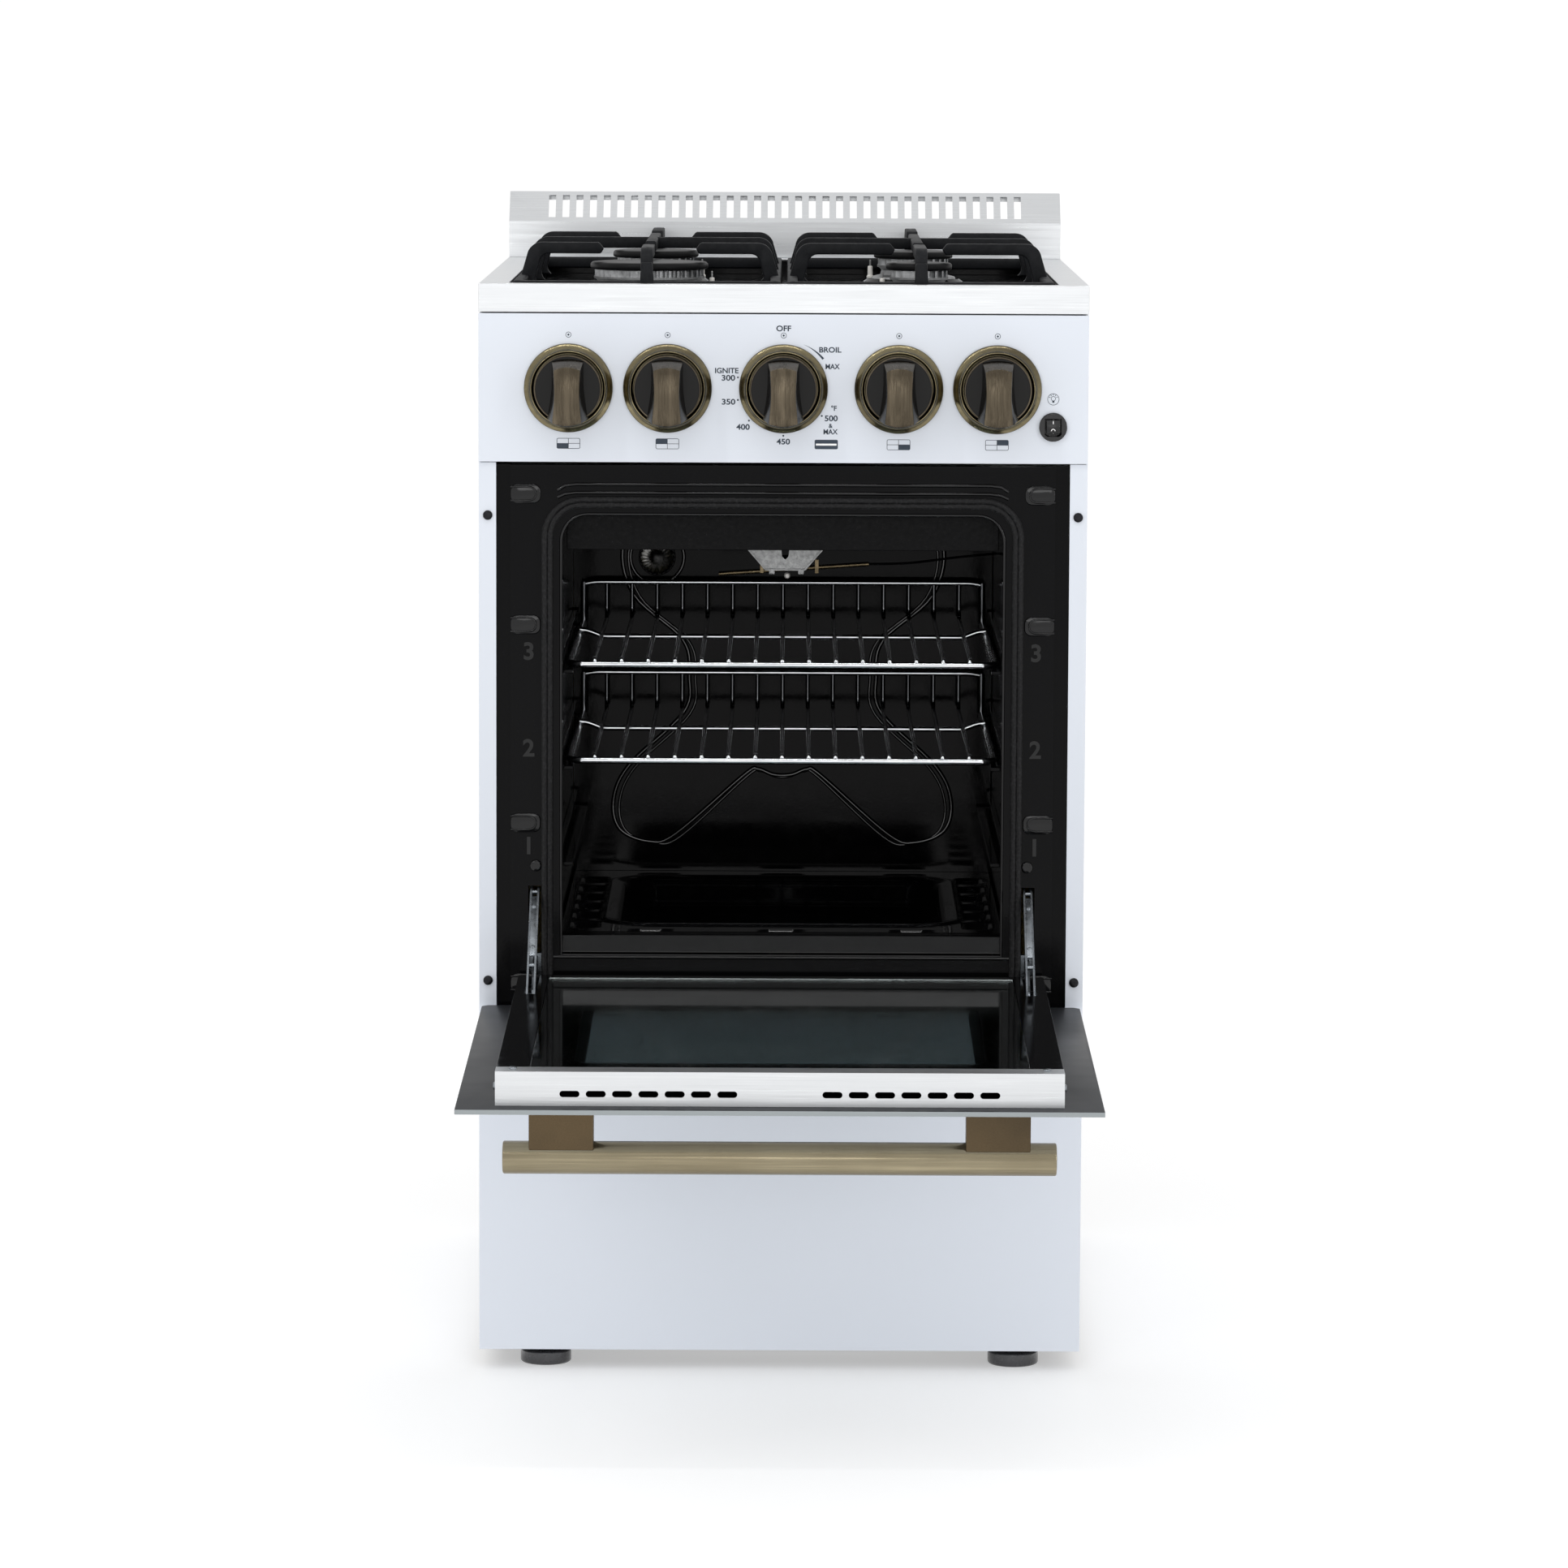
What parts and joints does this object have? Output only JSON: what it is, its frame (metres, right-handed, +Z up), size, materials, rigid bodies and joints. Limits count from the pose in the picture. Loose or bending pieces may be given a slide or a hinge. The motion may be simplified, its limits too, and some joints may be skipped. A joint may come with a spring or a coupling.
{
  "type": "freestanding gas range",
  "caption": "Slim freestanding gas range with cast grates, a drop-down oven door shown open, sliding oven racks, push-and-turn knobs and a storage drawer.",
  "frame": {"origin": "on the floor at the centre of the cabinet's footprint", "axes": "+X to the right seen from the front, +Y to the rear, +Z up; the door opens towards -Y"},
  "size_m": [0.505, 1.1003, 0.973],
  "materials": {
    "white_enamel": "gloss white enamel with a cool tint",
    "stainless": "brushed along the width",
    "black_enamel": "gloss black vitreous enamel",
    "antique_bronze": "brushed antique bronze",
    "cast_iron": "matte black enamelled cast iron",
    "chrome_wire": "bright chrome plate",
    "burner_aluminium": "cast and machined aluminium",
    "aluminised_sheet": "aluminised sheet",
    "zinc_plate": "bright zinc plate",
    "galvanised": "galvanised sheet",
    "chassis_steel": "dark painted steel",
    "door_glass": "white back-printed tempered glass with a dark window",
    "inner_glass": "tempered glass with a black printed border",
    "lamp_glass": "ribbed heatproof glass",
    "gasket_rope": "black fibreglass rope",
    "black_plastic": "black plastic",
    "foot_plastic": "dark moulded plastic",
    "screw_black": "black oxide screws",
    "valve_brass": "cast brass",
    "pipe_steel": "plain steel pipe",
    "tube_aluminium": "soft aluminium tube",
    "bulb_copper": "copper bulb and capillary",
    "white_ceramic": "glazed white ceramic",
    "module_plastic": "cream moulded plastic",
    "mineral_wool": "mineral wool blanket",
    "stem_steel": "machined steel"
  },
  "bodies": {
    "cabinet": {"left_side_panel": "white_enamel", "right_side_panel": "white_enamel", "rear_cover": "galvanised", "base_frame": "chassis_steel", "levelling_feet": "foot_plastic", "control_panel": "white_enamel", "knob_bezels": "antique_bronze", "cooktop_frame": "stainless", "burner_tray": "black_enamel", "backguard": "stainless", "flue_duct": "galvanised", "oven_front_frame": "black_enamel", "door_gasket": "gasket_rope", "oven_cavity": "black_enamel", "oven_bottom_tray": "black_enamel", "broiler_baffle": "black_enamel", "insulation": "mineral_wool", "heat_shields": "galvanised", "oven_lamp": "lamp_glass", "broil_burner": "aluminised_sheet", "bake_burner": "aluminised_sheet", "thermostat_bulb": "bulb_copper", "gas_manifold": "pipe_steel", "gas_valves": "valve_brass", "gas_tubes": "tube_aluminium", "gas_inlet": "valve_brass", "power_inlet": "black_plastic", "spark_module": "module_plastic", "igniter_electrodes": "white_ceramic", "burner_heads": "burner_aluminium", "burner_caps": "cast_iron", "hinge_receivers": "zinc_plate", "panel_screws": "screw_black", "light_switch_body": "black_plastic", "drawer_runners": "zinc_plate"},
    "door": {"door_outer_panel": "door_glass", "door_inner_frame": "black_enamel", "door_inner_glass": "inner_glass", "door_top_trim": "stainless", "door_hinge_channels": "zinc_plate", "handle_bar": "antique_bronze", "handle_posts": "antique_bronze"},
    "door_links": {"hinge_links": "zinc_plate"},
    "rack_upper": {"upper_rack": "chrome_wire"},
    "rack_lower": {"lower_rack": "chrome_wire"},
    "drawer": {"drawer_front": "white_enamel", "drawer_box": "galvanised"},
    "front_left_plunger": {"front_left_stem": "stem_steel"},
    "front_left_dial": {"front_left_knob": "antique_bronze"},
    "rear_left_plunger": {"rear_left_stem": "stem_steel"},
    "rear_left_dial": {"rear_left_knob": "antique_bronze"},
    "oven_plunger": {"oven_stem": "stem_steel"},
    "oven_dial": {"oven_knob": "antique_bronze"},
    "front_right_plunger": {"front_right_stem": "stem_steel"},
    "front_right_dial": {"front_right_knob": "antique_bronze"},
    "rear_right_plunger": {"rear_right_stem": "stem_steel"},
    "rear_right_dial": {"rear_right_knob": "antique_bronze"},
    "rocker": {"light_rocker": "black_plastic"},
    "grate_left": {"left_grate": "cast_iron"},
    "grate_right": {"right_grate": "cast_iron"}
  },
  "joints": [
    {"name": "door_hinge", "type": "hinge", "parent": "cabinet", "child": "door", "pos_m": [0, -0.3394, 0.3217], "axis": [1, 0, 0], "range_deg": [-91.5, 0]},
    {"name": "door_link_pivot", "type": "hinge", "parent": "door", "child": "door_links", "pos_m": [0, -0.4096, 0.32826], "axis": [1, 0, 0], "range_deg": [0, 45.75]},
    {"name": "upper_rack_slide", "type": "slide", "parent": "cabinet", "child": "rack_upper", "axis": [0, -1, 0], "range_m": [0, 0.25]},
    {"name": "lower_rack_slide", "type": "slide", "parent": "cabinet", "child": "rack_lower", "axis": [0, -1, 0], "range_m": [0, 0.25]},
    {"name": "drawer_slide", "type": "slide", "parent": "cabinet", "child": "drawer", "axis": [0, -1, 0], "range_m": [0, 0.3]},
    {"name": "front_left_knob_push", "type": "slide", "parent": "cabinet", "child": "front_left_plunger", "axis": [0, 1, 0], "range_m": [0, 0.0035], "stiffness_N_per_m": 1200},
    {"name": "rear_left_knob_push", "type": "slide", "parent": "cabinet", "child": "rear_left_plunger", "axis": [0, 1, 0], "range_m": [0, 0.0035], "stiffness_N_per_m": 1200},
    {"name": "oven_knob_push", "type": "slide", "parent": "cabinet", "child": "oven_plunger", "axis": [0, 1, 0], "range_m": [0, 0.0035], "stiffness_N_per_m": 1200},
    {"name": "front_right_knob_push", "type": "slide", "parent": "cabinet", "child": "front_right_plunger", "axis": [0, 1, 0], "range_m": [0, 0.0035], "stiffness_N_per_m": 1200},
    {"name": "rear_right_knob_push", "type": "slide", "parent": "cabinet", "child": "rear_right_plunger", "axis": [0, 1, 0], "range_m": [0, 0.0035], "stiffness_N_per_m": 1200},
    {"name": "front_left_knob_turn", "type": "hinge", "parent": "front_left_plunger", "child": "front_left_dial", "pos_m": [-0.178, -0.32, 0.828], "axis": [0, -1, 0], "range_deg": [0, 210]},
    {"name": "rear_left_knob_turn", "type": "hinge", "parent": "rear_left_plunger", "child": "rear_left_dial", "pos_m": [-0.096, -0.32, 0.828], "axis": [0, -1, 0], "range_deg": [0, 210]},
    {"name": "oven_knob_turn", "type": "hinge", "parent": "oven_plunger", "child": "oven_dial", "pos_m": [0, -0.32, 0.828], "axis": [0, -1, 0], "range_deg": [-60, 225]},
    {"name": "front_right_knob_turn", "type": "hinge", "parent": "front_right_plunger", "child": "front_right_dial", "pos_m": [0.0955, -0.32, 0.828], "axis": [0, -1, 0], "range_deg": [0, 210]},
    {"name": "rear_right_knob_turn", "type": "hinge", "parent": "rear_right_plunger", "child": "rear_right_dial", "pos_m": [0.177, -0.32, 0.828], "axis": [0, -1, 0], "range_deg": [0, 210]},
    {"name": "light_switch_tilt", "type": "hinge", "parent": "cabinet", "child": "rocker", "pos_m": [0.2234, -0.316, 0.7968], "axis": [1, 0, 0], "range_deg": [0, 14]},
    {"name": "left_grate_lift", "type": "slide", "parent": "cabinet", "child": "grate_left", "axis": [0, 0, 1], "range_m": [0, 0.03]},
    {"name": "right_grate_lift", "type": "slide", "parent": "cabinet", "child": "grate_right", "axis": [0, 0, 1], "range_m": [0, 0.03]}
  ],
  "couplings": [
    {"joint": "door_link_pivot", "follows": "door_hinge", "ratio": -0.5}
  ]
}
